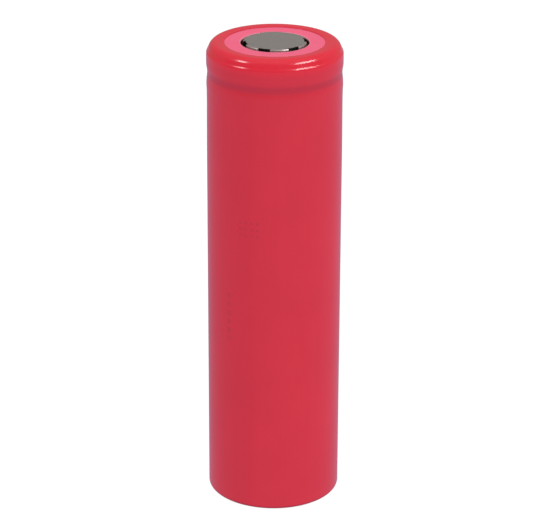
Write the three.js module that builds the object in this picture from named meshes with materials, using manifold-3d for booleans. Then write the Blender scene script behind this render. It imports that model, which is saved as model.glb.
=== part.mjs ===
// Cylindrical lithium-ion cell, 18650 format, unprotected, flat positive end.
// Millimetres, +Z up, bottom of the shrink sleeve at z = 0, axis of the cell on Z.
import * as THREE from 'three';
import * as BufferGeometryUtils from 'three/addons/utils/BufferGeometryUtils.js';
import Module from 'manifold-3d';

const wasm = await Module();
wasm.setup();

// ---------- driving dimensions ----------
const CELL_HEIGHT = 65.1;         // bottom of sleeve to top of positive cap
const BEAD_Z = 61.0;              // waist of the rolled bead
const STACK_R = 8.1;              // radius of the header discs clamped in the gasket
const SEGMENTS = 40;              // round the outer turned pieces
const DISC_SEGMENTS = 24;         // round the discs and rings inside the can

const SLEEVE = {
  bodyR: 9.1,                     // outside radius on the body
  headR: 9.14,                    // outside radius over the crimped head
  film: 0.08,
  top: CELL_HEIGHT - 0.05,
  lipR: 6.69,                     // inner edge of the film on the top face
  foldR: 7.4,                     // inner edge of the film under the base
  cornerR: 0.45,                  // outside radius of the bottom corner
};

const CAN = {
  bodyR: 8.97,
  headR: 9.03,                    // outside radius of the crimped head
  wall: 0.25,
  bottom: 0.12,                   // underside of the base
  baseThickness: 0.3,
  outerCornerR: 0.33,
  innerCornerR: 0.43,
  top: 64.66,                     // top of the crimp lip
  lipR: 6.95,                     // inner edge of the crimp lip
};

// Header stack, laid upward from the gasket's floor with a small gap under each layer.
const STACK_GAP = 0.02;
function layerOn(below, thickness) {
  const bottom = below.top + STACK_GAP;
  return { bottom, top: bottom + thickness };
}
const VENT_THICKNESS = 0.25;
const GASKET_FLOOR = { bottom: 62.1, top: 62.36 };
const CID_PLATE = layerOn(GASKET_FLOOR, 0.3);
const CID_RING = layerOn(CID_PLATE, 0.25);
const VENT_RIM = layerOn(CID_RING, VENT_THICKNESS);
const PTC = layerOn(VENT_RIM, 0.36);
const CAP_FLANGE = layerOn(PTC, 0.4);

// ---------- materials ----------
const standard = (options) => new THREE.MeshStandardMaterial(options);
const MATERIAL = {
  redFilm: standard({ color: 0xcb3242, roughness: 0.42, metalness: 0 }),
  pinkFibre: standard({ color: 0xec6a87, roughness: 0.55, metalness: 0 }),
  nickelSteel: standard({ color: 0x8b8882, roughness: 0.42, metalness: 0.85 }),
  brightSteel: standard({ color: 0xa9a8a4, roughness: 0.32, metalness: 0.9 }),
  nylon: standard({ color: 0xe6e4dc, roughness: 0.5, metalness: 0 }),
  ptcBlack: standard({ color: 0x2c2c2e, roughness: 0.6, metalness: 0.1 }),
  aluminium: standard({ color: 0xc3c5c8, roughness: 0.35, metalness: 0.9 }),
  cream: standard({ color: 0xe9e2c9, roughness: 0.6, metalness: 0 }),
  whiteFilm: standard({ color: 0xf0f0ee, roughness: 0.5, metalness: 0 }),
  cathodeGrey: standard({ color: 0x33343a, roughness: 0.75, metalness: 0.15 }),
  anodeBlack: standard({ color: 0x1f2022, roughness: 0.8, metalness: 0.1 }),
  polyimide: standard({ color: 0xc9862c, roughness: 0.35, metalness: 0 }),
  blueTape: standard({ color: 0x2d7f9d, roughness: 0.4, metalness: 0 }),
};

const cell = new THREE.Group();
cell.name = 'cylindrical_cell';

function add(name, geometry, material) {
  const mesh = new THREE.Mesh(geometry, material);
  mesh.name = name;
  cell.add(mesh);
}

// ---------- solids and cuts ----------
// merges coincident vertices and drops the triangles that collapse
function weld(geometry) {
  const bare = geometry.clone();
  bare.deleteAttribute('normal');
  bare.deleteAttribute('uv');
  const merged = BufferGeometryUtils.mergeVertices(bare, 1e-3);
  const index = merged.index.array;
  const kept = [];
  for (let i = 0; i < index.length; i += 3) {
    const corners = [index[i], index[i + 1], index[i + 2]];
    if (new Set(corners).size === 3) kept.push(...corners);
  }
  merged.setIndex(kept);
  merged.computeVertexNormals();
  return merged;
}

function toManifold(geometry) {
  const welded = weld(geometry);
  return new wasm.Manifold(new wasm.Mesh({
    numProp: 3,
    vertProperties: new Float32Array(welded.attributes.position.array),
    triVerts: new Uint32Array(welded.index.array),
  }));
}

function fromManifold(solid) {
  const mesh = solid.getMesh();
  const positions = new Float32Array(mesh.vertProperties);
  const geometry = new THREE.BufferGeometry();
  geometry.setAttribute('position', new THREE.BufferAttribute(positions, 3));
  geometry.setIndex(new THREE.BufferAttribute(new Uint32Array(mesh.triVerts), 1));
  geometry.computeVertexNormals();
  return geometry;
}

function cut(base, tools) {
  let solid = toManifold(base);
  for (const tool of tools) solid = solid.subtract(toManifold(tool));
  return fromManifold(solid);
}

// ---------- outlines ----------
const radians = THREE.MathUtils.degToRad;
const polar = (radius, angle) => [radius * Math.cos(angle), radius * Math.sin(angle)];
const toVectors = (points) => points.map(([x, y]) => new THREE.Vector2(x, y));

// points along an arc about [centreR, centreZ], angles in degrees
function arc([centreR, centreZ], radius, from, to, steps) {
  const points = [];
  for (let i = 0; i <= steps; i++) {
    const [r, z] = polar(radius, radians(from + ((to - from) * i) / steps));
    points.push([centreR + r, centreZ + z]);
  }
  return points;
}

// the same [radius, z] line moved inward along its normals
function inside(line, distance) {
  return line.map(([radius, z], i) => {
    const [beforeR, beforeZ] = line[Math.max(0, i - 1)];
    const [afterR, afterZ] = line[Math.min(line.length - 1, i + 1)];
    const alongR = afterR - beforeR;
    const alongZ = afterZ - beforeZ;
    const length = Math.hypot(alongR, alongZ);
    return [radius - (distance * alongZ) / length, z + (distance * alongR) / length];
  });
}

const rectangle = (x0, x1, y0, y1) => [[x0, y0], [x1, y0], [x1, y1], [x0, y1]];

// ---------- shapes ----------
// profile points are [radius, z], outer side running upward, turned about Z
function turned(profile, segments = SEGMENTS) {
  const geometry = new THREE.LatheGeometry(toVectors(profile), segments);
  geometry.rotateX(Math.PI / 2);
  return weld(geometry);
}

// a profile that stands off the axis, closed by repeating its first point
const ring = (profile, segments) => turned([...profile, profile[0]], segments);

const flatRing = (inner, outer, { bottom, top }, segments) => ring([
  [inner, bottom], [outer, bottom], [outer, top], [inner, top],
], segments);

const disc = (radius, { bottom, top }) => turned([
  [0, bottom], [radius, bottom], [radius, top], [0, top],
], DISC_SEGMENTS);

function rod(radius, [z0, z1], segments, [x, y] = [0, 0]) {
  const geometry = new THREE.CylinderGeometry(radius, radius, z1 - z0, segments);
  geometry.rotateX(Math.PI / 2);
  geometry.translate(x, y, (z0 + z1) / 2);
  return geometry;
}

function block([x0, x1], [y0, y1], [z0, z1]) {
  const geometry = new THREE.BoxGeometry(x1 - x0, y1 - y0, z1 - z0);
  geometry.translate((x0 + x1) / 2, (y0 + y1) / 2, (z0 + z1) / 2);
  return geometry;
}

const extrude = (shape, depth) => (
  new THREE.ExtrudeGeometry(shape, { depth, bevelEnabled: false, steps: 1 })
);

// plane outline [x, y] given counter-clockwise, raised from z0 to z1
function raised(outline, [z0, z1], holes = []) {
  const shape = new THREE.Shape(toVectors(outline));
  for (const hole of holes) shape.holes.push(new THREE.Path(toVectors(hole)));
  const geometry = extrude(shape, z1 - z0);
  geometry.translate(0, 0, z0);
  return weld(geometry);
}

// flat strip of constant thickness following [x, z] points, width centred along Y
function strip(path, thickness, width) {
  const MITRE_LIMIT = 0.4;        // smallest cosine used, so sharp bends don't spike
  const points = toVectors(path);
  const direction = (from, to) => to.clone().sub(from).normalize();
  const normalTo = (along) => new THREE.Vector2(-along.y, along.x);
  const left = [];
  const right = [];
  points.forEach((point, i) => {
    const before = i > 0 ? direction(points[i - 1], point) : null;
    const after = i < points.length - 1 ? direction(point, points[i + 1]) : null;
    const leg = before || after;
    const along = (before && after ? before.clone().add(after) : leg.clone()).normalize();
    const normal = normalTo(along);
    const offset = thickness / 2 / Math.max(MITRE_LIMIT, normal.dot(normalTo(leg)));
    left.push(point.clone().addScaledVector(normal, offset));
    right.push(point.clone().addScaledVector(normal, -offset));
  });
  const geometry = extrude(new THREE.Shape([...right, ...left.reverse()]), width);
  geometry.translate(0, 0, -width / 2);
  geometry.rotateX(Math.PI / 2);  // shape's y becomes z, depth runs along -y
  return weld(geometry);
}

// ---------- shrink sleeve: body, drape over the bead, head, lip and bottom fold ----------
// [outside radius of the film, z] up the body, over the bead and the head to the lip
const DRAPE = [
  [SLEEVE.bodyR, 50], [9.085, 54.5], [9.07, 57.0], [9.085, 58.5], [9.117, 59.3],
  [9.084, 60.0], [9.026, 60.5], [9.0, BEAD_Z], [9.045, 61.5], [9.125, 62.0],
  [SLEEVE.headR, 62.5], [9.135, 63.45], [9.12, 63.63], [9.085, 63.76], [9.035, 63.85],
  [8.975, 63.95], [8.925, 64.08], [8.865, 64.23], [8.805, 64.38], [8.745, 64.5],
  [8.68, 64.6], [8.595, 64.705], [8.49, 64.81], [8.36, 64.905], [8.21, 64.985], [8.03, 65.03],
  [7.8, SLEEVE.top], [7.2, SLEEVE.top - 0.01], [SLEEVE.lipR, SLEEVE.top - 0.02],
];
const foldCentre = [SLEEVE.bodyR - SLEEVE.cornerR, SLEEVE.cornerR];
add('sleeve', ring([
  [SLEEVE.foldR, 0],
  ...arc(foldCentre, SLEEVE.cornerR, -90, 0, 4),
  ...DRAPE,
  ...inside(DRAPE, SLEEVE.film).reverse(),
  ...arc(foldCentre, SLEEVE.cornerR - SLEEVE.film, 0, -90, 4),
  [SLEEVE.foldR, SLEEVE.film],
]), MATERIAL.redFilm);

// ---------- insulating washer on the crimp lip ----------
const WASHER = { inner: 4.61, outer: 7.95, bottom: CAN.top + 0.02, top: 64.92 };
add('top_insulator_washer', flatRing(WASHER.inner, WASHER.outer, WASHER), MATERIAL.pinkFibre);

// ---------- deep-drawn can with rolled bead and crimped lip ----------
const canInnerR = CAN.bodyR - CAN.wall;
const canFloor = CAN.bottom + CAN.baseThickness;
const outerCorner = [CAN.bodyR - CAN.outerCornerR, CAN.bottom + CAN.outerCornerR];
const innerCorner = [canInnerR - CAN.innerCornerR, canFloor + CAN.innerCornerR];
add('can', turned([
  // outside: base, body and bead
  [0, CAN.bottom], [5, CAN.bottom],
  ...arc(outerCorner, CAN.outerCornerR, -90, 0, 4),
  [CAN.bodyR, 59.7], [8.88, 60.0], [8.45, 60.35], [8.2, 60.7], [8.15, BEAD_Z],
  [8.2, 61.25], [8.45, 61.6], [8.86, 61.85],
  // outside: head and crimp
  [CAN.headR - 0.04, 62.1], [CAN.headR, 62.6], [CAN.headR, 63.3],
  [8.96, 63.62], [8.91, 63.77], [8.84, 63.91], [8.765, 64.06], [8.68, 64.25],
  [8.59, 64.41], [8.5, 64.52], [8.37, 64.61], [8.15, CAN.top],
  [CAN.lipR, CAN.top],
  // inside: back down the crimp, head and bead
  [CAN.lipR, CAN.top - CAN.wall],
  [8.08, CAN.top - CAN.wall], [8.24, 64.32], [8.4, 64.17], [8.56, 63.98], [8.68, 63.75],
  [8.76, 63.4], [8.76, 62.05], [8.3, 61.75], [7.98, 61.35], [7.9, BEAD_Z],
  [7.98, 60.62], [8.3, 60.22], [canInnerR, 59.75],
  ...arc(innerCorner, CAN.innerCornerR, 0, -90, 2),
  [0, canFloor],
]), MATERIAL.nickelSteel);

// ---------- sealing gasket, folded round the header stack ----------
const GASKET_GAP = 0.04;          // round the stack and over the cap's flange
const pocketR = STACK_R + GASKET_GAP;
const pocketTop = CAP_FLANGE.top + GASKET_GAP;
add('gasket', ring([
  [6.3, GASKET_FLOOR.bottom], [8.62, GASKET_FLOOR.bottom], [8.72, 62.22], [8.72, 63.38],
  [8.64, 63.72], [8.52, 63.94], [8.36, 64.13], [8.2, 64.28], [8.05, 64.37], [6.75, 64.37],
  [6.75, pocketTop], [pocketR, pocketTop], [pocketR, GASKET_FLOOR.top],
  [6.3, GASKET_FLOOR.top],
]), MATERIAL.nylon);

// ---------- positive cap: flange, raised button, six vent windows ----------
const CAP = { wallR: 4.22, topR: 4.06, thickness: 0.3 };
const WINDOW = {
  angles: [6.5, 67.5, 130.5, 193.5, 249.8, 306.8],
  width: 1.66,
  outer: 4.9,
  wallInner: 3.6, bottom: 64.3, wallTop: 64.86,    // opening in the wall
  lipInner: 3.88, overlap: 0.1,                    // notch in the top plate's edge
};
const capInnerR = CAP.wallR - CAP.thickness;
const capUnderside = CELL_HEIGHT - CAP.thickness;
const capBody = turned([
  [0, capUnderside], [3.8, capUnderside], [capInnerR, 64.72], [capInnerR, CAP_FLANGE.bottom],
  [STACK_R, CAP_FLANGE.bottom], [STACK_R, CAP_FLANGE.top],
  [4.5, CAP_FLANGE.top], [4.31, 64.1], [4.24, 64.3], [CAP.wallR, 64.8], [4.2, 64.96],
  [4.15, 65.05], [CAP.topR, CELL_HEIGHT], [2.2, CELL_HEIGHT], [0, CELL_HEIGHT],
]);

function windowTools(angle) {
  const across = [-WINDOW.width / 2, WINDOW.width / 2];
  const wall = block(
    [WINDOW.wallInner, WINDOW.outer], across, [WINDOW.bottom, WINDOW.wallTop],
  );
  const notch = block(
    [WINDOW.lipInner, WINDOW.outer], across,
    [WINDOW.wallTop - WINDOW.overlap, CELL_HEIGHT + 1],
  );
  return [wall, notch].map((tool) => tool.rotateZ(radians(angle)));
}
add('positive_cap', cut(capBody, WINDOW.angles.flatMap(windowTools)), MATERIAL.nickelSteel);

// ---------- resettable fuse ring ----------
const PTC_INNER_R = 4.7;
add('ptc_ring', flatRing(PTC_INNER_R, STACK_R, PTC, DISC_SEGMENTS), MATERIAL.ptcBlack);

// ---------- safety vent disc: clamped rim and the centre that snaps up ----------
const VENT = {
  scoreR: 2.8,                    // inner edge of the rim
  scoreGap: 0.05,                 // between rim and centre
  scoreZ: 62.82,                  // underside of both at the gap
  shoulderR: 5.0,                 // where the rim turns flat
  centreZ: 62.7,                  // underside at the axis
};
const scoreTop = VENT.scoreZ + VENT_THICKNESS;
add('vent_disc_rim', ring([
  [VENT.scoreR, VENT.scoreZ], [VENT.shoulderR, VENT_RIM.bottom], [STACK_R, VENT_RIM.bottom],
  [STACK_R, VENT_RIM.top], [VENT.shoulderR, VENT_RIM.top], [VENT.scoreR, scoreTop],
], DISC_SEGMENTS), MATERIAL.aluminium);
const ventCentreR = VENT.scoreR - VENT.scoreGap;
const ventCentreTop = VENT.centreZ + VENT_THICKNESS;
add('vent_disc_centre', turned([
  [0, VENT.centreZ], [1.0, VENT.centreZ], [1.15, 62.8], [ventCentreR, VENT.scoreZ],
  [ventCentreR, scoreTop], [1.1, 63.05], [0.95, ventCentreTop], [0, ventCentreTop],
], DISC_SEGMENTS), MATERIAL.aluminium);

// ---------- current-interrupt ring and perforated plate ----------
const CID_RING_INNER_R = 5.6;
add('cid_insulator', flatRing(CID_RING_INNER_R, STACK_R, CID_RING, DISC_SEGMENTS),
  MATERIAL.whiteFilm);

const PLATE_HOLE = { radius: 0.55, circleR: 3.6, count: 6, firstAngle: 30, cutZ: [62, 63] };
const plateHoles = [];
for (let i = 0; i < PLATE_HOLE.count; i++) {
  const angle = radians(PLATE_HOLE.firstAngle + (360 / PLATE_HOLE.count) * i);
  const centre = polar(PLATE_HOLE.circleR, angle);
  plateHoles.push(rod(PLATE_HOLE.radius, PLATE_HOLE.cutZ, 10, centre));
}
add('cid_plate', cut(disc(STACK_R, CID_PLATE), plateHoles), MATERIAL.aluminium);

// ---------- positive tab and its tape ----------
const TAB = { x: 4.2, thickness: 0.12, width: 4.0, weldZ: 62.29 };
const TAB_TAPE = { gap: 0.02, thickness: 0.06, z: [58.6, 59.2] };
add('positive_tab', strip([
  [TAB.x, 58.5], [TAB.x, 60.4], [3.9, 60.95], [1.9, 62.1], [1.5, TAB.weldZ], [-1.7, TAB.weldZ],
], TAB.thickness, TAB.width), MATERIAL.aluminium);

// rectangle round the tab's section, standing off it by the given distance
function roundTab(distance) {
  const halfX = TAB.thickness / 2 + distance;
  const halfY = TAB.width / 2 + distance;
  return rectangle(TAB.x - halfX, TAB.x + halfX, -halfY, halfY);
}
add('positive_tab_tape', raised(
  roundTab(TAB_TAPE.gap + TAB_TAPE.thickness), TAB_TAPE.z, [roundTab(TAB_TAPE.gap).reverse()],
), MATERIAL.polyimide);

// ---------- insulating discs above and below the winding ----------
const UPPER = {
  radius: 8.25, bottom: 59.3, top: 59.55, cutZ: [59, 60],
  centreHoleR: 1.3,
  slotHalfX: 0.35, slotHalfY: 2.3,                 // slot for the positive tab
  holeR: 0.9, circleR: 5.4, angles: [75, 130, 180, 230, 285],
};
add('upper_insulator', cut(disc(UPPER.radius, UPPER), [
  rod(UPPER.centreHoleR, UPPER.cutZ, 20),
  block([TAB.x - UPPER.slotHalfX, TAB.x + UPPER.slotHalfX],
    [-UPPER.slotHalfY, UPPER.slotHalfY], UPPER.cutZ),
  ...UPPER.angles.map((angle) => (
    rod(UPPER.holeR, UPPER.cutZ, 14, polar(UPPER.circleR, radians(angle)))
  )),
]), MATERIAL.cream);

const LOWER = {
  radius: 8.2, bottom: 0.75, top: 0.93, cutZ: [0.5, 1.2],
  centreHoleR: 1.5,
  notchX: [7.25, 9], notchY: [-2.1, 2.1],          // edge notch for the negative tab
};
add('lower_insulator', cut(disc(LOWER.radius, LOWER), [
  rod(LOWER.centreHoleR, LOWER.cutZ, 20),
  block(LOWER.notchX, LOWER.notchY, LOWER.cutZ),
]), MATERIAL.cream);

// ---------- wound electrodes and separators ----------
const ROLL = { inner: 1.4, turns: 7, stepsPerTurn: 16, gap: 0.0175 };
const SEPARATOR = { thickness: 0.06, z: [1.6, 58.45], material: MATERIAL.whiteFilm };
// outward from the start of each turn
const LAYERS = [
  { name: 'separator_inner', ...SEPARATOR, turns: ROLL.turns + 1 },
  { name: 'cathode', thickness: 0.315, z: [2.7, 57.4], material: MATERIAL.cathodeGrey },
  { name: 'separator_outer', ...SEPARATOR },
  { name: 'anode', thickness: 0.335, z: [2.2, 57.9], material: MATERIAL.anodeBlack },
];
const pitch = LAYERS.reduce((sum, layer) => sum + layer.thickness + ROLL.gap, 0);
const rollAngle = (step) => (step / ROLL.stepsPerTurn) * 2 * Math.PI;

// strip between two radial offsets of the common spiral
function wound(innerOffset, outerOffset, z, turns) {
  const steps = Math.round(turns * ROLL.stepsPerTurn);
  const spiral = (i, offset) => (
    polar(ROLL.inner + (pitch * i) / ROLL.stepsPerTurn + offset, rollAngle(i))
  );
  const outline = [];
  for (let i = 0; i <= steps; i++) outline.push(spiral(i, outerOffset));
  for (let i = steps; i >= 0; i--) outline.push(spiral(i, innerOffset));
  return raised(outline, z);
}

let offset = 0;
for (const { name, thickness, z, material, turns = ROLL.turns } of LAYERS) {
  add(name, wound(offset, offset + thickness, z, turns), material);
  offset += thickness + ROLL.gap;
}

// ---------- tape that closes the winding ----------
const TAPE = { inner: 8.23, outer: 8.3, firstStep: 3, steps: 5, z: [12, 46] };
const tapeAngles = [];
for (let i = 0; i <= TAPE.steps; i++) tapeAngles.push(rollAngle(i + TAPE.firstStep));
add('winding_tape', raised([
  ...tapeAngles.map((angle) => polar(TAPE.outer, angle)),
  ...tapeAngles.map((angle) => polar(TAPE.inner, angle)).reverse(),
], TAPE.z), MATERIAL.blueTape);

// ---------- split centre pin, slit on the +X side ----------
const PIN = { radius: 1.25, wall: 0.2, slit: 0.4, steps: 20, z: [1.7, 58.3] };
const slitHalfAngle = Math.asin(PIN.slit / 2 / PIN.radius);
const pinAngles = [];
for (let i = 0; i <= PIN.steps; i++) {
  pinAngles.push(slitHalfAngle + ((2 * Math.PI - 2 * slitHalfAngle) * i) / PIN.steps);
}
add('centre_pin', raised([
  ...pinAngles.map((angle) => polar(PIN.radius, angle)),
  ...pinAngles.map((angle) => polar(PIN.radius - PIN.wall, angle)).reverse(),
], PIN.z), MATERIAL.brightSteel);

// ---------- negative tab and its tape ----------
const NEG_TAB = { floorZ: 0.49, x: 8.45, thickness: 0.1, width: 3.5 };
const NEG_TAPE = { gap: 0.02, thickness: 0.05, y: [-1.3, 1.3], z: [4, 10] };
add('negative_tab', strip([
  [-2.0, NEG_TAB.floorZ], [7.2, NEG_TAB.floorZ], [NEG_TAB.x, 1.75], [NEG_TAB.x, 12],
], NEG_TAB.thickness, NEG_TAB.width), MATERIAL.brightSteel);
const negTapeX = NEG_TAB.x + NEG_TAB.thickness / 2 + NEG_TAPE.gap;
add('negative_tab_tape', block([negTapeX, negTapeX + NEG_TAPE.thickness], NEG_TAPE.y, NEG_TAPE.z),
  MATERIAL.polyimide);

export default cell;
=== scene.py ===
# A cylindrical battery cell in a red shrink sleeve, standing upright on a pale floor.
# The axis is Z, the base is at z = 0 and the positive cap is on top. The front faces -Y.
# Sizes are in millimetres and are scaled to metres as the meshes are built.
import bmesh
import bpy
import math
from mathutils import Matrix, Vector, noise


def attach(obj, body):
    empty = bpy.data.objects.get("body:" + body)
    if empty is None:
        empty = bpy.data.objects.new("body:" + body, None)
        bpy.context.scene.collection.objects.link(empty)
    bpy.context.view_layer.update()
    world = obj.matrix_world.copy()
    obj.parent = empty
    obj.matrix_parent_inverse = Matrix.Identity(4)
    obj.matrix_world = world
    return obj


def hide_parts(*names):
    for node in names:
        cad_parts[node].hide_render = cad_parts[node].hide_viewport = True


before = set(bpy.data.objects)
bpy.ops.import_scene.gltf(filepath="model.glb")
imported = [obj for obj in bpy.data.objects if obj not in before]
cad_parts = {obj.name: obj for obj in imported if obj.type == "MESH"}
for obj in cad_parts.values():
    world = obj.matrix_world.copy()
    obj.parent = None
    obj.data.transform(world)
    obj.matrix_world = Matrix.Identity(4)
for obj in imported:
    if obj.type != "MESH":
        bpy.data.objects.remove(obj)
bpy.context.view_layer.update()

MM = 0.001
TAU = math.tau
scene = bpy.context.scene

SLEEVE_RADIUS = 9.1
SLEEVE_TOP = 65.05
FILM_THICKNESS = 0.08
FILM_CORNER = 0.45            # outer radius where the film turns under the base
CAN_RADIUS, CAN_BORE = 8.97, 8.72
CAN_BASE, CAN_FLOOR = 0.12, 0.42    # underside and inside of the can's bottom
CAN_CORNER, CAN_INNER_CORNER = 0.33, 0.43
HEADER_RADIUS = 8.10          # the parts stacked under the cap, and the cap's flange
HEADER_SEGMENTS = 128


# ------------------------------------------------------------------ outlines, in mm
def point(radius, angle, centre=(0, 0)):
    return centre[0] + radius * math.cos(angle), centre[1] + radius * math.sin(angle)


def circle(radius, centre=(0, 0), steps=48):
    return [point(radius, TAU * i / steps, centre) for i in range(steps)]


def arc(radius, start, end, steps, centre=(0, 0)):
    """points from start to end, both in degrees and both included"""
    return [point(radius, math.radians(start + (end - start) * i / steps), centre)
            for i in range(steps + 1)]


def rounded(points, radii, steps=4):
    """rounds the corners of a line or loop, one radius per point; 0 keeps the point sharp"""
    out = []
    for i, (corner, radius) in enumerate(zip(points, radii)):
        if radius <= 0:
            out.append(corner)
            continue
        corner = Vector(corner)
        back = Vector(points[i - 1]) - corner
        ahead = Vector(points[(i + 1) % len(points)]) - corner
        room = min(back.length * 0.49, ahead.length * 0.49)
        back.normalize()
        ahead.normalize()
        half = back.angle(ahead) / 2
        trim = min(radius / math.tan(half), room)
        fitted = trim * math.tan(half)
        centre = corner + (back + ahead).normalized() * (fitted / math.sin(half))
        first = corner + back * trim - centre
        last = corner + ahead * trim - centre
        start = math.atan2(first.y, first.x)
        sweep = (math.atan2(last.y, last.x) - start + math.pi) % TAU - math.pi
        out += [point(fitted, start + sweep * k / steps, centre) for k in range(steps + 1)]
    return out


def box(x0, x1, y0, y1, radius):
    """rounded rectangle; serves as a flat outline or as a lathe profile"""
    return rounded([(x0, y0), (x1, y0), (x1, y1), (x0, y1)], [radius] * 4)


def spline(points, steps=5):
    """smooth curve through the points (centripetal Catmull-Rom)"""
    def blend(a, b, at_a, at_b, t):
        return (at_b - t) / (at_b - at_a) * a + (t - at_a) / (at_b - at_a) * b

    line = [Vector(p) for p in points]
    line = [line[0] * 2 - line[1]] + line + [line[-1] * 2 - line[-2]]
    out = []
    for i in range(1, len(line) - 2):
        near = line[i - 1:i + 3]
        knots = [0.0]
        for a, b in zip(near, near[1:]):
            knots.append(knots[-1] + (b - a).length ** 0.5)
        for k in range(steps):
            t = knots[1] + (knots[2] - knots[1]) * k / steps
            ones = [blend(near[j], near[j + 1], knots[j], knots[j + 1], t) for j in range(3)]
            twos = [blend(ones[j], ones[j + 1], knots[j], knots[j + 2], t) for j in range(2)]
            out.append(tuple(blend(*twos, knots[1], knots[2], t)))
    out.append(tuple(line[-2]))
    return out


def moved_in(line, distance):
    """an upward-running (r, z) line moved towards the axis along its normals"""
    out = []
    for i, (r, z) in enumerate(line):
        r0, z0 = line[max(0, i - 1)]
        r1, z1 = line[min(len(line) - 1, i + 1)]
        length = math.hypot(r1 - r0, z1 - z0)
        out.append((r - distance * (z1 - z0) / length, z + distance * (r1 - r0) / length))
    return out


# ------------------------------------------------------------------ meshes
LOOKS = {}                    # material name -> material


def add_piece(name, verts, faces, slot, replaces, sharp=35, body="cell"):
    """verts are in metres; sharp is the angle in degrees beyond which an edge stays crisp"""
    mesh = bpy.data.meshes.new(name)
    mesh.from_pydata(verts, [], faces)
    mesh.validate()
    mesh.update()
    piece = bpy.data.objects.new(name, mesh)
    scene.collection.objects.link(piece)
    for polygon in mesh.polygons:
        polygon.use_smooth = True
    if sharp:
        mesh.set_sharp_from_angle(angle=math.radians(sharp))
    mesh.materials.append(LOOKS[slot])
    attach(piece, body)
    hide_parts(replaces)
    return piece


def vertex(r, angle, z):
    return r * math.cos(angle) * MM, r * math.sin(angle) * MM, z * MM


def lathe(name, profile, slot, replaces, segments=HEADER_SEGMENTS, shape=None, **piece):
    """turns (r, z) points about Z; a profile that starts on the axis stays open, others close.
    shape(r, z, angle) -> (r, z) may vary the profile round the axis"""
    verts, faces, rows = [], [], []
    for r, z in profile:
        if r == 0:
            rows.append([len(verts)])
            verts.append((0, 0, z * MM))
            continue
        rows.append(range(len(verts), len(verts) + segments))
        for i in range(segments):
            angle = TAU * i / segments
            at_r, at_z = shape(r, z, angle) if shape else (r, z)
            verts.append(vertex(at_r, angle, at_z))
    pairs = list(zip(rows, rows[1:]))
    if len(rows[0]) > 1:
        pairs.append((rows[-1], rows[0]))
    for low, high in pairs:
        for i in range(segments):
            j = (i + 1) % segments
            if len(low) == 1:
                faces.append((low[0], high[j], high[i]))
            elif len(high) == 1:
                faces.append((low[i], low[j], high[0]))
            else:
                faces.append((low[i], low[j], high[j], high[i]))
    return add_piece(name, verts, faces, slot, replaces, **piece)


def prism(name, outline, z, slot, replaces, holes=()):
    """flat (x, y) outline, with holes, raised between the two heights in z"""
    curve = bpy.data.curves.new(name + "_outline", "CURVE")
    curve.dimensions = "2D"
    curve.fill_mode = "BOTH"
    curve.extrude = (z[1] - z[0]) / 2 * MM
    for loop in [outline, *holes]:
        edge = curve.splines.new("POLY")
        edge.points.add(len(loop) - 1)
        for p, (x, y) in zip(edge.points, loop):
            p.co = (x * MM, y * MM, 0, 1)
        edge.use_cyclic_u = True
    carrier = bpy.data.objects.new(name + "_tmp", curve)
    scene.collection.objects.link(carrier)
    bpy.context.view_layer.update()
    depsgraph = bpy.context.evaluated_depsgraph_get()
    mesh = bpy.data.meshes.new_from_object(carrier.evaluated_get(depsgraph))
    bpy.data.objects.remove(carrier)
    mesh.transform(Matrix.Translation((0, 0, (z[0] + z[1]) / 2 * MM)))
    # the filled faces and the walls come apart, so they are welded
    bm = bmesh.new()
    bm.from_mesh(mesh)
    bmesh.ops.remove_doubles(bm, verts=bm.verts, dist=1e-7)
    bmesh.ops.recalc_face_normals(bm, faces=bm.faces)
    bm.verts.index_update()
    verts = [tuple(v.co) for v in bm.verts]
    faces = [[v.index for v in f.verts] for f in bm.faces]
    bm.free()
    bpy.data.meshes.remove(mesh)
    return add_piece(name, verts, faces, slot, replaces)


def strip(name, path, thickness, width, slot, replaces, bend=0.45, edge=0.02):
    """metal strip along an (x, z) path, its width along Y, with rounded bends"""
    bends = [0] + [bend] * (len(path) - 2) + [0]
    line = [Vector(p) for p in rounded(path, bends, steps=6)]
    half = width / 2
    # section with softened edges: (share of the half thickness, y)
    section = [(0.55, -half), (1, -half + edge), (1, half - edge), (0.55, half),
               (-0.55, half), (-1, half - edge), (-1, -half + edge), (-0.55, -half)]
    verts, faces = [], []
    for i, p in enumerate(line):
        along = Vector((0, 0))
        if i:
            along += (p - line[i - 1]).normalized()
        if i < len(line) - 1:
            along += (line[i + 1] - p).normalized()
        along.normalize()
        normal = Vector((-along.y, along.x)) * thickness / 2
        for share, y in section:
            q = p + normal * share
            verts.append((q.x * MM, y * MM, q.y * MM))
    for i in range(len(line) - 1):
        for k in range(8):
            a, b = i * 8 + k, i * 8 + (k + 1) % 8
            faces.append((a, b, b + 8, a + 8))
    faces.append(tuple(range(7, -1, -1)))
    faces.append(tuple(range(len(verts) - 8, len(verts))))
    return add_piece(name, verts, faces, slot, replaces)


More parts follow.
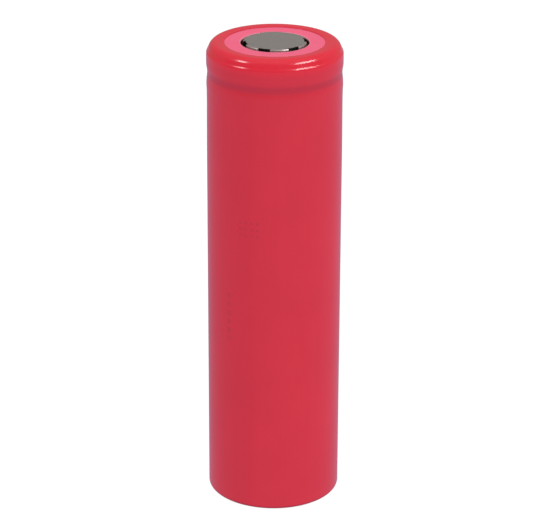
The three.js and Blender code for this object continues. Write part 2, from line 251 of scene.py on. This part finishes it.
# ------------------------------------------------------------------ shader nodes
class Nodes:
    """builds nodes in one tree; any value may be a number, a colour or another node's output"""

    def __init__(self, tree):
        self.tree = tree

    def node(self, kind, **settings):
        node = self.tree.nodes.new(kind)
        for key, value in settings.items():
            setattr(node, key, value)
        return node

    def put(self, socket, value):
        if isinstance(value, bpy.types.NodeSocket):
            self.tree.links.new(value, socket)
        else:
            socket.default_value = (*value, 1) if socket.type == "RGBA" else value

    def math(self, operation, *values):
        node = self.node("ShaderNodeMath", operation=operation)
        for value, socket in zip(values, node.inputs):
            self.put(socket, value)
        return node.outputs[0]

    def times(self, a, b):
        return self.math("MULTIPLY", a, b)

    def ramp(self, value, over, to=(0, 1), smooth=False):
        """maps the span `over` onto the span `to`, clamped"""
        node = self.node("ShaderNodeMapRange")
        if smooth:
            node.interpolation_type = "SMOOTHSTEP"
        self.put(node.inputs["Value"], value)
        for key, x in zip(("From Min", "From Max", "To Min", "To Max"), (*over, *to)):
            node.inputs[key].default_value = x
        return node.outputs["Result"]

    def mix(self, share, a, b):
        """colour a going to colour b"""
        node = self.node("ShaderNodeMix", data_type="RGBA")
        for i, value in ((0, share), (6, a), (7, b)):
            self.put(node.inputs[i], value)
        return node.outputs[2]

    def mix_value(self, share, a, b):
        node = self.node("ShaderNodeMix", data_type="FLOAT")
        for i, value in ((0, share), (2, a), (3, b)):
            self.put(node.inputs[i], value)
        return node.outputs[0]

    def split(self, vector):
        node = self.node("ShaderNodeSeparateXYZ")
        self.put(node.inputs[0], vector)
        return node.outputs


class Material(Nodes):
    """one Principled material; textures run in millimetres of the part's own frame"""

    def __init__(self, name):
        material = bpy.data.materials.new(name)
        material.use_nodes = True
        super().__init__(material.node_tree)
        LOOKS[name] = material
        self.shader = self.tree.nodes["Principled BSDF"]
        metres = self.node("ShaderNodeTexCoord").outputs["Object"]
        scale = self.node("ShaderNodeVectorMath", operation="SCALE")
        scale.inputs["Scale"].default_value = 1 / MM
        self.put(scale.inputs[0], metres)
        self.position = scale.outputs[0]
        self.normal = None

    def set(self, name, value):
        self.put(self.shader.inputs[name], value)

    def angle(self, x, y):
        return self.math("ARCTAN2", y, x)

    def radius(self, x, y):
        return self.math("SQRT", self.math("ADD", self.times(x, x), self.times(y, y)))

    def combine(self, *values):
        node = self.node("ShaderNodeCombineXYZ")
        for value, socket in zip(values, node.inputs):
            self.put(socket, value)
        return node.outputs[0]

    def noise(self, scale, detail=3, rough=0.5, at=None, distortion=0.0):
        node = self.node("ShaderNodeTexNoise")
        for key, value in (("Scale", scale), ("Detail", detail), ("Roughness", rough),
                           ("Distortion", distortion), ("Vector", at or self.position)):
            self.put(node.inputs[key], value)
        return node.outputs["Fac"]

    def bump(self, height, strength, depth):
        """adds relief on top of any earlier relief; depth in mm"""
        node = self.node("ShaderNodeBump")
        node.inputs["Strength"].default_value = strength
        node.inputs["Distance"].default_value = depth * MM
        self.put(node.inputs["Height"], height)
        if self.normal is not None:
            self.put(node.inputs["Normal"], self.normal)
        self.normal = node.outputs["Normal"]
        self.set("Normal", self.normal)


def scaled(colour, factor):
    return tuple(c * factor for c in colour)


# ------------------------------------------------------------------ materials
# Faint printed marks: (height, arc position, half height, half width). Arc positions run
# round the sleeve from +X; the front is at FRONT_ARC and smaller values lie to its left.
FRONT_ARC = math.radians(-90) * SLEEVE_RADIUS
DOTS = [(42.4 - 0.9 * row, FRONT_ARC - 4.7 + 0.82 * column, 0.20, 0.20)
        for row in range(3) for column in range(4)]
DASHES = [(31.3 - 1.25 * row, FRONT_ARC - 6.7, 0.36, 0.34) for row in range(6)]


def film_material():
    """satin red film with draw lines along the tube, orange peel and printed marks"""
    m = Material("sleeve_film")
    x, y, z = m.split(m.position)
    angle = m.angle(x, y)

    def band(value, centre, half, soft=0.05):
        """1 within half of the centre, fading out over soft"""
        away = m.math("ABSOLUTE", m.math("SUBTRACT", value, centre))
        return m.ramp(away, over=(half, half + soft), to=(1, 0))

    def tint(colour, share, strength, target):
        return m.mix(m.times(share, strength), colour, target)

    cloud = m.noise(scale=0.11, detail=2)
    colour = m.mix(m.ramp(cloud, over=(0.35, 0.65)),
                   (0.640, 0.0200, 0.0420), (0.612, 0.0186, 0.0398))
    # pulled thin over the shoulder it is brighter and more saturated
    thin = m.ramp(z, over=(62.6, 63.6), smooth=True)
    colour = tint(colour, thin, 0.85, (0.715, 0.0185, 0.0400))
    # painted shade: over the can's groove, where it has no steel behind it, the film is
    # darkened as a band standing in for the shade in the groove's dip
    groove_shade = m.times(m.ramp(z, over=(60.25, 60.85), smooth=True),
                     m.ramp(z, over=(61.15, 61.8), to=(1, 0), smooth=True))
    colour = tint(colour, groove_shade, 0.60, (0.42, 0.014, 0.040))
    # draw lines: fine round the tube, long up it
    stretched = m.combine(m.times(angle, 26.0), 0.0, m.times(z, 0.035))
    lines = m.noise(scale=1.0, detail=4, rough=0.6, at=stretched)
    colour = m.mix(m.ramp(lines, over=(0.3, 0.7), to=(0, 0.10)), colour, (0.50, 0.014, 0.032))
    # printed marks, partly worn
    along = m.times(angle, SLEEVE_RADIUS)
    marks = None
    for height, place, half_height, half_width in DOTS + DASHES:
        mark = m.times(band(along, place, half_width), band(z, height, half_height))
        marks = mark if marks is None else m.math("MAXIMUM", marks, mark)
    worn = m.ramp(m.noise(scale=2.2), over=(0.3, 0.6), to=(0.35, 1.0))
    colour = tint(colour, m.times(marks, worn), 0.38, (0.36, 0.020, 0.042))
    # painted dark reflection: a darker strip up the tube, left of the front, fading out towards
    # the top
    dark_reflection_strip = m.times(band(along, FRONT_ARC - 4.35, half=0.25, soft=2.2),
                     m.ramp(z, over=(58.0, 60.5), to=(1, 0), smooth=True))
    colour = tint(colour, dark_reflection_strip, 0.30, (0.555, 0.0150, 0.0350))
    # painted shade: the film is darkened along the bottom edge, where it meets the floor
    base_shade = m.ramp(z, over=(0.12, 0.55), to=(0.92, 0), smooth=True)
    m.set("Base Color", m.mix(base_shade, colour, (0.30, 0.007, 0.019)))
    satin = m.ramp(m.noise(scale=1.4), over=(0.3, 0.7), to=(0.20, 0.26))
    m.set("Roughness", m.math("SUBTRACT", satin, m.times(thin, 0.05)))
    m.set("IOR", 1.5)
    m.set("Specular IOR Level", 0.5)
    m.bump(m.noise(scale=2.4, detail=2, rough=0.4), strength=0.10, depth=0.05)  # orange peel
    m.bump(lines, strength=0.10, depth=0.03)
    m.bump(m.noise(scale=14.0, detail=2), strength=0.05, depth=0.01)


def washer_material():
    """pink fibre board, paler at the inner punched edge"""
    m = Material("washer")
    x, y, _ = m.split(m.position)
    fibre = m.noise(scale=5.0, detail=4, rough=0.65, distortion=1.2)
    colour = m.mix(m.ramp(fibre, over=(0.35, 0.68)), (0.83, 0.105, 0.205), (0.79, 0.092, 0.185))
    patches = m.ramp(m.noise(scale=0.5, detail=2), over=(0.4, 0.7), to=(0, 0.35))
    colour = m.mix(patches, colour, (0.84, 0.125, 0.225))
    edge = m.ramp(m.radius(x, y), over=(4.62, 4.72), to=(0.6, 0.0))
    m.set("Base Color", m.mix(edge, colour, (0.82, 0.52, 0.56)))
    m.set("Roughness", m.ramp(fibre, over=(0.3, 0.7), to=(0.50, 0.66)))
    m.set("Specular IOR Level", 0.35)
    m.bump(fibre, strength=0.25, depth=0.02)


def metal_material(name, base, rough, mottled, turned=0.0):
    """mottled is the share of darker patches, turned the strength of the lathe rings"""
    m = Material(name)
    patches = m.noise(scale=1.6, detail=4, rough=0.6)
    colour = m.mix(m.ramp(patches, over=(0.3, 0.7), to=(0, mottled)), base, scaled(base, 0.72))
    grain = m.noise(scale=16.0, rough=0.6)
    light = m.ramp(grain, over=(0.35, 0.7), to=(0, 0.22))
    m.set("Base Color", m.mix(light, colour, scaled(base, 1.25)))
    m.set("Metallic", 1.0)
    m.set("Roughness", m.ramp(grain, over=(0.3, 0.7), to=(rough - 0.05, rough + 0.07)))
    if turned:
        x, y, z = m.split(m.position)
        # nearly constant round the axis, tight across it
        stretched = m.combine(m.times(m.angle(x, y), 0.4), m.times(m.radius(x, y), 9.0),
                              m.times(z, 9.0))
        m.bump(m.noise(scale=1.0, rough=0.6, at=stretched), strength=turned, depth=0.01)
    m.bump(grain, strength=0.22, depth=0.008)


def plastic_material(name, base, rough, speck, bump=0.12, scale=3.0, metallic=0.0):
    """matt material with darker clouds and specks; speck is how much darker they are"""
    m = Material(name)
    cloud = m.noise(scale=scale, detail=4, rough=0.6)
    colour = m.mix(m.ramp(cloud, over=(0.3, 0.7)), base, scaled(base, 1 - speck))
    specks = m.ramp(m.noise(scale=scale * 7, detail=2), over=(0.55, 0.75), to=(0, 0.5))
    m.set("Base Color", m.mix(specks, colour, scaled(base, 1 - 1.5 * speck)))
    m.set("Roughness", m.ramp(cloud, over=(0.3, 0.7), to=(rough - 0.06, rough + 0.08)))
    m.set("Metallic", metallic)
    m.bump(m.noise(scale=scale * 5), strength=bump, depth=0.015)


def tape_material(name, base):
    """glossy tape with streaks drawn out along Z"""
    m = Material(name)
    stretch = m.node("ShaderNodeVectorMath", operation="MULTIPLY")
    m.put(stretch.inputs[0], m.position)
    m.put(stretch.inputs[1], (1.0, 1.0, 0.12))
    streaks = m.noise(scale=1.0, rough=0.6, at=stretch.outputs[0])
    m.set("Base Color", m.mix(m.ramp(streaks, over=(0.3, 0.7)), base, scaled(base, 0.8)))
    m.set("Roughness", m.ramp(streaks, over=(0.3, 0.7), to=(0.22, 0.36)))
    m.bump(m.noise(scale=2.0), strength=0.15, depth=0.02)


film_material()
washer_material()
metal_material("cap_steel", (0.66, 0.605, 0.565), rough=0.40, mottled=0.30)
# a near-black copy of the cap steel: painted shade for the inside of the cap and the cut edges
# of its windows
metal_material("cap_steel_painted_shade", (0.045, 0.043, 0.041), rough=0.6, mottled=0.3)
metal_material("can_steel", (0.56, 0.55, 0.53), rough=0.28, mottled=0.15, turned=0.25)
metal_material("header_aluminium", (0.74, 0.75, 0.77), rough=0.30, mottled=0.10, turned=0.12)
metal_material("bright_steel", (0.62, 0.61, 0.59), rough=0.25, mottled=0.12, turned=0.1)
plastic_material("gasket_nylon", (0.78, 0.77, 0.71), rough=0.45, speck=0.06)
plastic_material("ptc", (0.022, 0.022, 0.024), rough=0.55, speck=0.3)
plastic_material("white_plastic", (0.84, 0.84, 0.82), rough=0.5, speck=0.05, scale=1.2)
plastic_material("insulator_board", (0.78, 0.71, 0.55), rough=0.7, speck=0.12, bump=0.3,
                 scale=4.0)
plastic_material("cathode_coat", (0.032, 0.032, 0.038), rough=0.62, speck=0.35, bump=0.2,
                 scale=2.0, metallic=0.1)
plastic_material("anode_coat", (0.014, 0.014, 0.015), rough=0.68, speck=0.35, bump=0.25,
                 scale=2.5)
tape_material("polyimide", (0.55, 0.22, 0.03))
tape_material("blue_tape", (0.02, 0.20, 0.33))

# ------------------------------------------------------------------ shrink sleeve
WALL_TOP = 50                 # the plain wall ends here and the drape begins
# outer surface of the film over groove and shoulder: (r, z)
DRAPE = [
    (SLEEVE_RADIUS, WALL_TOP), (9.085, 54.5), (9.07, 57.0), (9.085, 58.5), (9.117, 59.3),
    (9.084, 60.0), (9.026, 60.5), (9.0, 61.0), (9.045, 61.5), (9.125, 62.0), (9.14, 62.5),
    (9.135, 63.45), (9.12, 63.63), (9.085, 63.76), (9.035, 63.85), (8.975, 63.95),
    (8.925, 64.08), (8.865, 64.23), (8.805, 64.38), (8.745, 64.5), (8.68, 64.6),
    (8.595, 64.705), (8.49, 64.81), (8.36, 64.905), (8.21, 64.985), (8.03, 65.03),
    (7.8, SLEEVE_TOP), (7.2, SLEEVE_TOP - 0.01), (6.9, SLEEVE_TOP - 0.03)]
# the lip's cut edge, from its upper face round to its lower: (r, depth below the top)
LIP = [(6.80, 0.045), (6.74, 0.065), (6.705, 0.085),
       (6.69, 0.10), (6.70, 0.107), (6.9, 0.105), (7.2, 0.09)]


def sleeve_profile():
    corner = (SLEEVE_RADIUS - FILM_CORNER, FILM_CORNER)
    wall = [FILM_CORNER + (WALL_TOP - FILM_CORNER) * i / 25 for i in range(1, 25)]
    drape = spline(DRAPE)
    lining = moved_in(drape, FILM_THICKNESS)[::-1]
    return ([(7.43, 0.0), (7.8, 0.0)] + arc(FILM_CORNER, -90, 0, 10, corner)
            + [(SLEEVE_RADIUS, z) for z in wall] + drape
            + [(r, SLEEVE_TOP - depth) for r, depth in LIP]
            + lining[10:]     # the lip table stands in for the end of the lining
            + [(SLEEVE_RADIUS - FILM_THICKNESS, z) for z in reversed(wall)]
            + arc(FILM_CORNER - FILM_THICKNESS, 0, -90, 10, corner)
            + [(7.8, FILM_THICKNESS), (7.43, FILM_THICKNESS), (7.41, FILM_THICKNESS / 2)])


def film_shape(r, z, angle):
    x, y = math.cos(angle), math.sin(angle)
    if z > 64.8 and r < 7.6:                     # the lip's cut edge wanders a little
        r += (7.6 - r) / 0.9 * 0.035 * noise.noise((x * 1.7, y * 1.7, 0.4))
    if z < 1.0:                                  # 46 gathered folds under the base
        share = (1.0 - z) * max(0.0, min(1.0, (8.9 - r) / 1.2))
        fold = 0.5 + 0.5 * math.sin(angle * 46 + 2.2 * noise.noise((x * 3, y * 3, 7.7)))
        z += share * 0.018 * fold * fold
    if 3 < z < 62:                               # slight unevenness of the can beneath
        r += 0.006 * noise.noise((x * 2.1, y * 2.1, z * 0.11))
    return r, z


lathe("sleeve_film", sleeve_profile(), "sleeve_film", "sleeve", segments=224,
      shape=film_shape, sharp=None)

# ------------------------------------------------------------------ washer
lathe("washer", rounded([(4.61, 64.68), (7.95, 64.68), (7.95, 64.92), (4.61, 64.92)],
                        [0.03, 0.03, 0.03, 0.035]),
      "washer", "top_insulator_washer", segments=192)

# ------------------------------------------------------------------ can
# outside, up from the foot of the groove to the crimped lip: (r, z)
CAN_OUTSIDE = [
    (8.97, 59.7), (8.88, 60.0), (8.45, 60.35), (8.2, 60.7), (8.15, 61.0), (8.2, 61.25),
    (8.45, 61.6), (8.86, 61.85), (8.99, 62.1), (9.02, 62.6), (9.02, 63.3), (8.95, 63.62),
    (8.9, 63.77), (8.83, 63.91), (8.755, 64.06), (8.67, 64.25), (8.58, 64.41), (8.49, 64.52),
    (8.36, 64.61), (8.15, 64.65)]
CAN_LIP = [(7.6, 64.66), (6.98, 64.66), (6.95, 64.63), (6.95, 64.44), (6.98, 64.41)]
# inside, downwards: under the crimp, then the groove
CRIMP_INSIDE = [(8.08, 64.41), (8.24, 64.32), (8.4, 64.17), (8.56, 63.98), (8.68, 63.75),
                (8.76, 63.4)]
GROOVE_INSIDE = [(8.76, 62.05), (8.3, 61.75), (7.98, 61.35), (7.9, 61.0), (7.98, 60.62),
                 (8.3, 60.22), (8.72, 59.75)]

can_profile = (
    [(r, CAN_BASE) for r in (0, 3.0, 5.0, 7.2)]
    + arc(CAN_CORNER, -90, 0, 8, (CAN_RADIUS - CAN_CORNER, CAN_BASE + CAN_CORNER))
    + [(CAN_RADIUS, z) for z in (20.0, 40.0, 59.5)]
    + spline(CAN_OUTSIDE, 3) + CAN_LIP + spline(CRIMP_INSIDE, 3)
    + [(8.76, 62.1)] + spline(GROOVE_INSIDE, 3)
    + [(CAN_BORE, z) for z in (40.0, 20.0)]
    + arc(CAN_INNER_CORNER, 0, -90, 6,
          (CAN_BORE - CAN_INNER_CORNER, CAN_FLOOR + CAN_INNER_CORNER))
    + [(4.0, CAN_FLOOR), (0, CAN_FLOOR)])
lathe("can_body", can_profile, "can_steel", "can", segments=160)

# ------------------------------------------------------------------ gasket
# (r, z, corner radius)
GASKET = [
    (6.3, 62.1, 0.05), (8.62, 62.1, 0.04), (8.72, 62.22, 0.04), (8.72, 63.38, 0.3),
    (8.64, 63.72, 0.1), (8.52, 63.94, 0.1), (8.36, 64.13, 0.1), (8.2, 64.28, 0.1),
    (8.05, 64.37, 0.1), (6.75, 64.37, 0.05), (6.75, 64.06, 0.05), (8.14, 64.06, 0.02),
    (8.14, 62.36, 0.02), (6.3, 62.36, 0.05)]
lathe("gasket_seal", rounded([row[:2] for row in GASKET], [row[2] for row in GASKET]),
      "gasket_nylon", "gasket")

# ------------------------------------------------------------------ positive cap
CAP_TOP = 65.10
WINDOW_ANGLES = [6.5, 67.5, 130.5, 193.5, 249.8, 306.8]    # window middles, degrees from +X
WINDOW_HALF_WIDTH = 0.83
WINDOW_START = 3.88           # radius at which the windows begin on the top face
WINDOW_ROWS = range(4, 15)    # bands of the profile that the windows leave open
WINDOW_STEPS, BETWEEN_STEPS = 10, 22
# (r, z) from the top face down the side and out along the flange
CAP_PROFILE = [(r, CAP_TOP) for r in (0.9, 1.8, 2.7, 3.5, WINDOW_START, 4.05)] + [
    (4.09, 65.096), (4.13, 65.082), (4.165, 65.055), (4.19, 65.01), (4.205, 64.95),
    (4.213, 64.87), (4.22, 64.75), (4.225, 64.55), (4.232, 64.4), (4.24, 64.3),
    (4.26, 64.2), (4.31, 64.11), (4.40, 64.045), (4.52, 64.02), (6.3, 64.02),
    (HEADER_RADIUS, 64.02)]


def cap_angles(r):
    """angles of the columns at radius r; the windows keep their width as r grows"""
    half = math.asin(WINDOW_HALF_WIDTH / max(r, WINDOW_START))
    angles = []
    for this, following in zip(WINDOW_ANGLES, WINDOW_ANGLES[1:] + WINDOW_ANGLES[:1]):
        middle = math.radians(this)
        gap = (math.radians(following) - middle) % TAU - 2 * half
        angles += [middle - half + 2 * half * i / WINDOW_STEPS for i in range(WINDOW_STEPS)]
        angles += [middle + half + gap * i / BETWEEN_STEPS for i in range(BETWEEN_STEPS)]
    return angles


def cap_button():
    verts = [(0, 0, CAP_TOP * MM)]
    for r, z in CAP_PROFILE:
        verts += [vertex(r, angle, z) for angle in cap_angles(r)]
    period = WINDOW_STEPS + BETWEEN_STEPS
    columns = len(WINDOW_ANGLES) * period
    faces = [(0, 1 + i, 1 + (i + 1) % columns) for i in range(columns)]
    for k in range(len(CAP_PROFILE) - 1):
        upper, lower = 1 + k * columns, 1 + (k + 1) * columns
        for i in range(columns):
            if k in WINDOW_ROWS and i % period < WINDOW_STEPS:
                continue
            j = (i + 1) % columns
            faces.append((upper + i, lower + i, lower + j, upper + j))
    cap = add_piece("cap_button", verts, faces, "cap_steel", "positive_cap", sharp=None)
    # the inner faces and the window edges take the near-black copy of the steel, which paints
    # the shade inside the cap
    cap.data.materials.append(LOOKS["cap_steel_painted_shade"])
    wall = cap.modifiers.new("wall", "SOLIDIFY")
    wall.thickness = 0.28 * MM
    wall.material_offset = 1
    wall.material_offset_rim = 1
    wall.offset = -1
    wall.use_even_offset = True
    edge = cap.modifiers.new("edge", "BEVEL")
    edge.width = 0.02 * MM
    edge.segments = 2
    edge.limit_method = "ANGLE"
    edge.angle_limit = math.radians(50)


cap_button()

# ------------------------------------------------------------------ header stack
lathe("fuse_ring", box(4.7, HEADER_RADIUS, 63.24, 63.6, radius=0.04), "ptc", "ptc_ring")
lathe("vent_rim", rounded([(2.80, 62.82), (5.0, 62.97), (HEADER_RADIUS, 62.97),
                           (HEADER_RADIUS, 63.22), (5.0, 63.22), (2.80, 63.07)],
                          [0.02, 0.3, 0.04, 0.04, 0.3, 0.02]),
      "header_aluminium", "vent_disc_rim")
lathe("vent_centre_disc",
      rounded([(0, 62.7), (0.5, 62.7), (1.0, 62.7), (1.15, 62.8), (2.75, 62.82),
               (2.75, 63.07), (1.1, 63.05), (0.95, 62.95), (0.5, 62.95), (0, 62.95)],
              [0, 0, 0.06, 0.08, 0.02, 0.02, 0.08, 0.06, 0, 0]),
      "header_aluminium", "vent_disc_centre", segments=96, body="vent_centre")
lathe("interrupt_ring", box(5.6, HEADER_RADIUS, 62.7, 62.95, radius=0.04),
      "white_plastic", "cid_insulator")
prism("interrupt_plate", circle(HEADER_RADIUS, steps=128), (62.38, 62.68),
      "header_aluminium", "cid_plate",
      holes=[circle(0.55, point(3.6, math.radians(30 + 60 * i)), steps=32) for i in range(6)])

# ------------------------------------------------------------------ tabs and insulators
strip("positive_tab_strip",
      [(4.2, 58.5), (4.2, 60.4), (3.9, 60.95), (1.9, 62.1), (1.5, 62.29), (-1.7, 62.29)],
      thickness=0.12, width=4.0, slot="header_aluminium", replaces="positive_tab")
prism("positive_tab_wrap", box(4.06, 4.34, -2.08, 2.08, radius=0.05), (58.6, 59.2),
      "polyimide", "positive_tab_tape", holes=[box(4.12, 4.28, -2.02, 2.02, radius=0.02)])
# a centre hole, a slot for the positive tab and five round holes
prism("upper_insulating_disc", circle(8.25, steps=128), (59.3, 59.55),
      "insulator_board", "upper_insulator",
      holes=[circle(1.3), box(3.85, 4.55, -2.3, 2.3, radius=0.2)]
      + [circle(0.9, point(5.4, math.radians(a)), steps=36) for a in (75, 130, 180, 230, 285)])
# notched on the +X side, where the negative tab passes
prism("lower_insulating_disc", arc(8.2, 15.5, 344.5, 110) + [(7.25, -2.1), (7.25, 2.1)],
      (0.75, 0.93), "insulator_board", "lower_insulator", holes=[circle(1.5)])
strip("negative_tab_strip", [(-2.0, 0.49), (7.2, 0.49), (8.45, 1.75), (8.45, 12.0)],
      thickness=0.1, width=3.5, slot="bright_steel", replaces="negative_tab")
prism("negative_tab_patch", box(8.52, 8.57, -1.3, 1.3, radius=0.02), (4.0, 10.0),
      "polyimide", "negative_tab_tape")

# ------------------------------------------------------------------ winding
WINDING_START = 1.40
TURN_PITCH = 6.72 / 19
TURN_SEGMENTS = 40
LAYER_GAP = 0.007
SEPARATOR, CATHODE = 0.022, 0.138       # thicknesses; the anode takes what is left of a turn
ANODE = TURN_PITCH - 2 * SEPARATOR - CATHODE - 4 * LAYER_GAP
# name, thickness, z of the lower and upper edge, turns, edge waviness, slot, replaces
LAYERS = [
    ("separator_film_inner", SEPARATOR, 1.62, 58.43, 19, 0.02, "white_plastic",
     "separator_inner"),
    ("cathode_strip", CATHODE, 2.7, 57.4, 18, 0.0, "cathode_coat", "cathode"),
    ("separator_film_outer", SEPARATOR, 1.62, 58.43, 18, 0.02, "white_plastic",
     "separator_outer"),
    ("anode_strip", ANODE, 2.2, 57.9, 18, 0.0, "anode_coat", "anode")]


def winding(name, offset, thickness, z0, z1, turns, wavy, slot, replaces):
    """one strip wound in a spiral, its inner face offset outward from the spiral line"""
    steps = turns * TURN_SEGMENTS
    verts, faces = [], []
    for i in range(steps + 1):
        angle = TAU * i / TURN_SEGMENTS
        r = WINDING_START + TURN_PITCH * i / TURN_SEGMENTS
        inner, outer = r + offset, r + offset + thickness
        lift = wavy * noise.noise((angle * 0.7, offset * 40, 3.1))
        for at_r, z in ((inner, z0), (outer, z0), (outer, z1), (inner, z1)):
            verts.append(vertex(at_r, angle, z + lift))
    for i in range(steps):
        for k in range(4):
            a, b = i * 4 + k, i * 4 + (k + 1) % 4
            faces.append((a, a + 4, b + 4, b))
    end = steps * 4
    faces += [(0, 1, 2, 3), (end + 3, end + 2, end + 1, end)]
    add_piece(name, verts, faces, slot, replaces, sharp=50)


layer_offset = 0
for layer_name, layer_thickness, *layer in LAYERS:
    winding(layer_name, layer_offset, layer_thickness, *layer)
    layer_offset += layer_thickness + LAYER_GAP

prism("closing_tape", arc(8.30, 67.5, 180, 30) + arc(8.24, 67.5, 180, 30)[::-1],
      (12.0, 46.0), "blue_tape", "winding_tape")

PIN_RADIUS, PIN_BORE, PIN_HALF_SLIT = 1.25, 1.05, 0.2
slit = math.degrees(math.asin(PIN_HALF_SLIT / PIN_RADIUS))
prism("split_pin",
      arc(PIN_RADIUS, slit, 360 - slit, 48) + arc(PIN_BORE, slit, 360 - slit, 48)[::-1],
      (1.7, 58.3), "bright_steel", "centre_pin")


# ------------------------------------------------------------------ floor
def floor_material():
    m = Material("floor_paint")
    cloud = m.ramp(m.noise(scale=0.02), over=(0.3, 0.7))
    m.set("Base Color", m.mix(cloud, (0.115, 0.115, 0.115), (0.105, 0.105, 0.105)))
    m.set("Roughness", 0.7)
    m.set("Specular IOR Level", 0.0)
    m.set("Emission Color", (1.0, 1.0, 1.0))
    m.set("Emission Strength", 0.93)


floor_material()
bpy.ops.mesh.primitive_plane_add(size=8)
floor = bpy.context.object
floor.name = "floor"
floor.location = (0, 0, -0.00002)       # just clear of the base
floor.data.materials.append(LOOKS["floor_paint"])
# the world stands in for the floor in lighting and mirroring
floor.visible_diffuse = False
floor.visible_glossy = False
floor.visible_shadow = False

# ------------------------------------------------------------------ world
# brightness seen in reflections
MIRROR_TABLE, MIRROR_FRONT, MIRROR_TOP, MIRROR_BACK = 0.37, 0.05, 0.50, 0.26
# brightness that lights the cell; left (-X) and right (+X) are factors on the rest
LIGHT_TABLE, LIGHT_SKY, LIGHT_TOP, LIGHT_LEFT, LIGHT_RIGHT = 0.84, 0.89, 1.16, 0.94, 1.22
MIRROR_TABLE_TINT = (1.0, 1.0, 1.42)    # the mirrored table is a little blue


def studio_world():
    world = bpy.data.worlds.new("studio")
    world.use_nodes = True
    scene.world = world
    w = Nodes(world.node_tree)
    background = w.tree.nodes["Background"]
    rays = w.node("ShaderNodeLightPath").outputs
    x, y, z = w.split(w.node("ShaderNodeTexCoord").outputs["Generated"])

    def fade(value, over, to=(0, 1)):
        return w.ramp(value, over, to, smooth=True)

    # mirrored: pale table below, a dark room in front, a soft ceiling and a dim back wall
    walls = fade(y, over=(-0.25, 0.25), to=(MIRROR_FRONT, MIRROR_BACK))
    room = w.mix_value(fade(z, over=(0.72, 0.95)), walls, MIRROR_TOP)
    mirrored = w.mix_value(fade(z, over=(-0.22, -0.02)), MIRROR_TABLE, room)
    # lighting: even from all round, a little stronger from the right
    sky = fade(z, over=(0.3, 1.0), to=(LIGHT_SKY, LIGHT_TOP))
    lit = w.mix_value(fade(z, over=(-0.3, 0.3)), LIGHT_TABLE, sky)
    lit = w.times(lit, fade(x, over=(-1.0, 1.0), to=(LIGHT_LEFT, LIGHT_RIGHT)))
    light = w.mix_value(rays["Is Glossy Ray"], lit, mirrored)
    # the camera sees plain white
    w.put(background.inputs["Strength"], w.mix_value(rays["Is Camera Ray"], light, 1.0))
    table = w.times(fade(z, over=(-0.22, -0.02), to=(1, 0)), rays["Is Glossy Ray"])
    w.put(background.inputs["Color"], w.mix(table, (1.0, 1.0, 1.0), MIRROR_TABLE_TINT))


studio_world()


# ------------------------------------------------------------------ lights, in metres
def add_light(name, kind, direction, energy):
    """a light that shines from the given direction towards the cell"""
    data = bpy.data.lights.new(name, kind)
    data.energy = energy
    light = bpy.data.objects.new(name, data)
    scene.collection.objects.link(light)
    light.rotation_euler = Vector(direction).to_track_quat("Z", "Y").to_euler()
    light.visible_camera = False
    return light


def softbox(name, direction, width, height, energy, distance=0.55):
    """makes only a narrow gleam on the shoulder"""
    direction = Vector(direction).normalized()
    light = add_light(name, "AREA", direction, energy)
    light.data.shape = "RECTANGLE"
    light.data.size = width
    light.data.size_y = height
    light.location = Vector((0, 0, 0.05)) + direction * distance
    light.visible_diffuse = False


softbox("key_right", (0.662, -0.337, 0.669), width=0.34, height=0.13, energy=2.1)
softbox("key_left", (-0.694, -0.266, 0.660), width=0.14, height=0.11, energy=0.9)
fill = add_light("fill", "SUN", (0.15, -0.62, 0.77), energy=0.30)
fill.data.angle = math.radians(60)
fill.visible_glossy = False

# ------------------------------------------------------------------ camera
CAMERA_BACK, CAMERA_HEIGHT = 0.30898, 0.15980    # metres in front of the axis, above the base
PITCH_DOWN, ROLL, YAW = 0.3894, 0.0038, 0.0004   # radians
LENS, SENSOR_WIDTH = 159.16582, 36               # mm

forward = Vector((YAW * math.cos(PITCH_DOWN), math.cos(PITCH_DOWN), -math.sin(PITCH_DOWN)))
forward.normalize()
level = Vector((1, -YAW, 0)).normalized()
upright = level.cross(forward)
right = math.cos(ROLL) * level + math.sin(ROLL) * upright
up = -math.sin(ROLL) * level + math.cos(ROLL) * upright
camera_data = bpy.data.cameras.new("camera")
camera = bpy.data.objects.new("camera", camera_data)
scene.collection.objects.link(camera)
camera.matrix_world = Matrix(((right.x, up.x, -forward.x, 0),
                              (right.y, up.y, -forward.y, -CAMERA_BACK),
                              (right.z, up.z, -forward.z, CAMERA_HEIGHT),
                              (0, 0, 0, 1)))
camera_data.sensor_fit = "HORIZONTAL"
camera_data.sensor_width = SENSOR_WIDTH
camera_data.lens = LENS
camera_data.clip_start = 0.01
scene.camera = camera
scene.view_settings.view_transform = "Standard"
scene.view_settings.look = "None"
